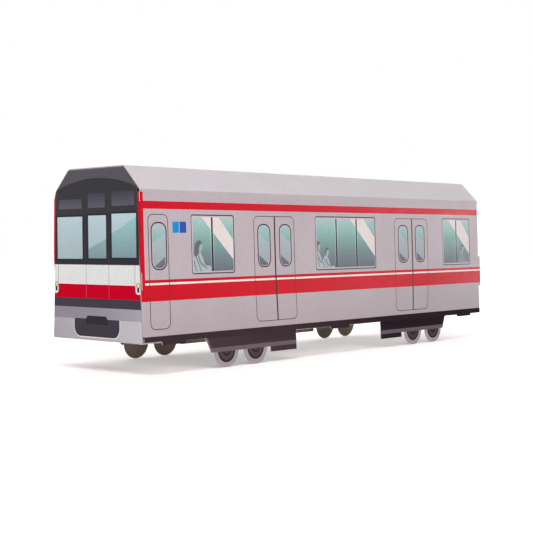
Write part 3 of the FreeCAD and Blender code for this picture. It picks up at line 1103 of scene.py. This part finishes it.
def floor_painted_glow(tree, where):
    """Share of white painted onto the floor as seen: it lifts the shadow under the car, and is full further
    out.
    """
    shadow_middle = (-0.08, 0, 0)
    place = add(tree, "SeparateXYZ", {"Vector": where}).outputs
    around = ramp(tree, place["X"], (-0.21, 0.1), (0.17, 0.34))
    under = ramp(tree, place["X"], (-0.1, 0.2), (0.40, 0.58))
    far_side = ramp(tree, place["Y"], (0.03, 0.08), (0.0, 0.1))
    from_side = ramp(tree, place["Y"], (-0.052, -0.03))
    from_front = ramp(tree, place["X"], (-0.203, -0.165))
    below_car = math_node(tree, "MULTIPLY", from_side, from_front)
    more = math_node(tree, "SUBTRACT", math_node(tree, "ADD", under, far_side), around)
    near = math_node(tree, "MULTIPLY_ADD", more, below_car, around)
    distance = add(tree, "VectorMath", {0: where, 1: shadow_middle}, operation="DISTANCE")
    further_out = ramp(tree, distance.outputs["Value"], (0.24, 0.42))
    return math_node(tree, "MAXIMUM", near, further_out)


def background_rays(tree):
    """1 for rays that show the background: camera, glossy and transmission rays."""
    rays = add(tree, "LightPath", {}).outputs
    mirror = math_node(tree, "MAXIMUM", rays["Is Glossy Ray"], rays["Is Transmission Ray"])
    return math_node(tree, "MAXIMUM", rays["Is Camera Ray"], mirror)


def make_stage():
    """Pale floor that keeps the shadow under the car, partly lifted by painted glow, and is plain white
    further out.
    """
    half_width, roughness, paper_mottle, glow_colour = 6.0, 0.9, (30, 3.0), (1.0, 0.98, 0.975, 1)
    paper_dark, paper_light = (0.82, 0.785, 0.775, 1), (0.84, 0.805, 0.795, 1)
    corners = [(x, y, 0) for x, y in box(-half_width, half_width, -half_width, half_width)]
    mesh = bpy.data.meshes.new("floor")
    mesh.from_pydata(corners, [], [(0, 1, 2, 3)])
    floor = placed_object("floor", mesh)
    material, tree, shader, where = blank_material("floor_paper")
    mesh.materials.append(material)
    mottled = mix(tree, noise(tree, where, *paper_mottle), paper_dark, paper_light)
    feed(tree, shader, {"Base Color": mottled, "Roughness": roughness, "Specular IOR Level": 0.0})
    strength = math_node(tree, "MULTIPLY", floor_painted_glow(tree, where), background_rays(tree))
    glow = add(tree, "Emission", {"Color": glow_colour, "Strength": strength}).outputs[0]
    both = add(tree, "AddShader", {0: shader.outputs[0], 1: glow}).outputs[0]
    feed(tree, tree.nodes["Material Output"], {"Surface": both})


def make_world():
    """White background, and a softer light of its own."""
    plain_white, fill, full = (1, 1, 1, 1), 0.25, 1.0
    world = bpy.data.worlds.new("studio")
    world.use_nodes = True
    tree = world.node_tree
    tree.nodes.clear()
    soft, white = (add(tree, "Background", {"Color": plain_white, "Strength": strength}).outputs[0]
                   for strength in (fill, full))
    shown = add(tree, "MixShader", {0: background_rays(tree), 1: soft, 2: white}).outputs[0]
    add(tree, "OutputWorld", {"Surface": shown})
    bpy.context.scene.world = world


# Soft lamps: place, target, width and watts
soft_lamps = {
    "overhead": ((0, 0, 1.5), (0, 0, 0), 1.0, 1.0),
    "key": ((-0.7, -0.3, 1.1), (-0.1, 0, 0.07), 0.7, 11.0),
    "side": ((-0.25, -0.75, 0.45), (-0.12, 0, 0.08), 0.4, 2.0),
    "rear": ((1.4, 0.35, 0.7), (0.1, 0, 0.07), 0.8, 5.0),
    "far": ((0.3, 1.1, 1.0), (0, 0, 0.07), 1.2, 6.0),
    "sheen": ((1.4, -0.72, 0.26), (0.15, 0, 0.09), 0.5, 8.0),
}


def make_lights():
    """Square softboxes. The sheen one shows on the varnish alone."""
    for name, (place, target, width, watts) in soft_lamps.items():
        light = bpy.data.lights.new(name, "AREA")
        light.shape = "SQUARE"
        light.size, light.energy = width, watts
        lamp = placed_object(name + "_softbox", light)
        lamp.location = place
        lamp.rotation_euler = (Vector(target) - Vector(place)).to_track_quat("-Z", "Y").to_euler()
        lamp.visible_diffuse = name != "sheen"


def make_camera():
    """Camera at the photograph's angle, a little above the car's floor and slightly tilted."""
    azimuth, elevation, roll = (radians(angle) for angle in (-47.32, 1.29, -0.44))
    target, distance = Vector((-0.0326, 0, 0.0672)), 0.8861
    photo_pixels, focal_pixels, sensor = 533, 1136.6, 36.0
    back = Vector((sin(azimuth) * cos(elevation), -cos(azimuth) * cos(elevation), sin(elevation)))
    level = Vector((cos(azimuth), sin(azimuth), 0))
    upright = back.cross(level)
    right = level * cos(roll) + upright * sin(roll)
    data = bpy.data.cameras.new("camera")
    data.sensor_width = sensor
    data.lens = sensor * focal_pixels / photo_pixels
    data.clip_start, data.clip_end = 0.01, 50
    camera = placed_object("camera", data)
    camera.location = target + back * distance
    camera.rotation_euler = Matrix((right, back.cross(right), back)).transposed().to_euler()
    bpy.context.scene.camera = camera


make_camera()
make_world()
make_lights()
make_stage()
make_side_walls()
make_roof()
make_floor()
make_glue_flap()
make_running_gear()
make_ends()
bpy.context.scene.view_settings.view_transform = "Standard"
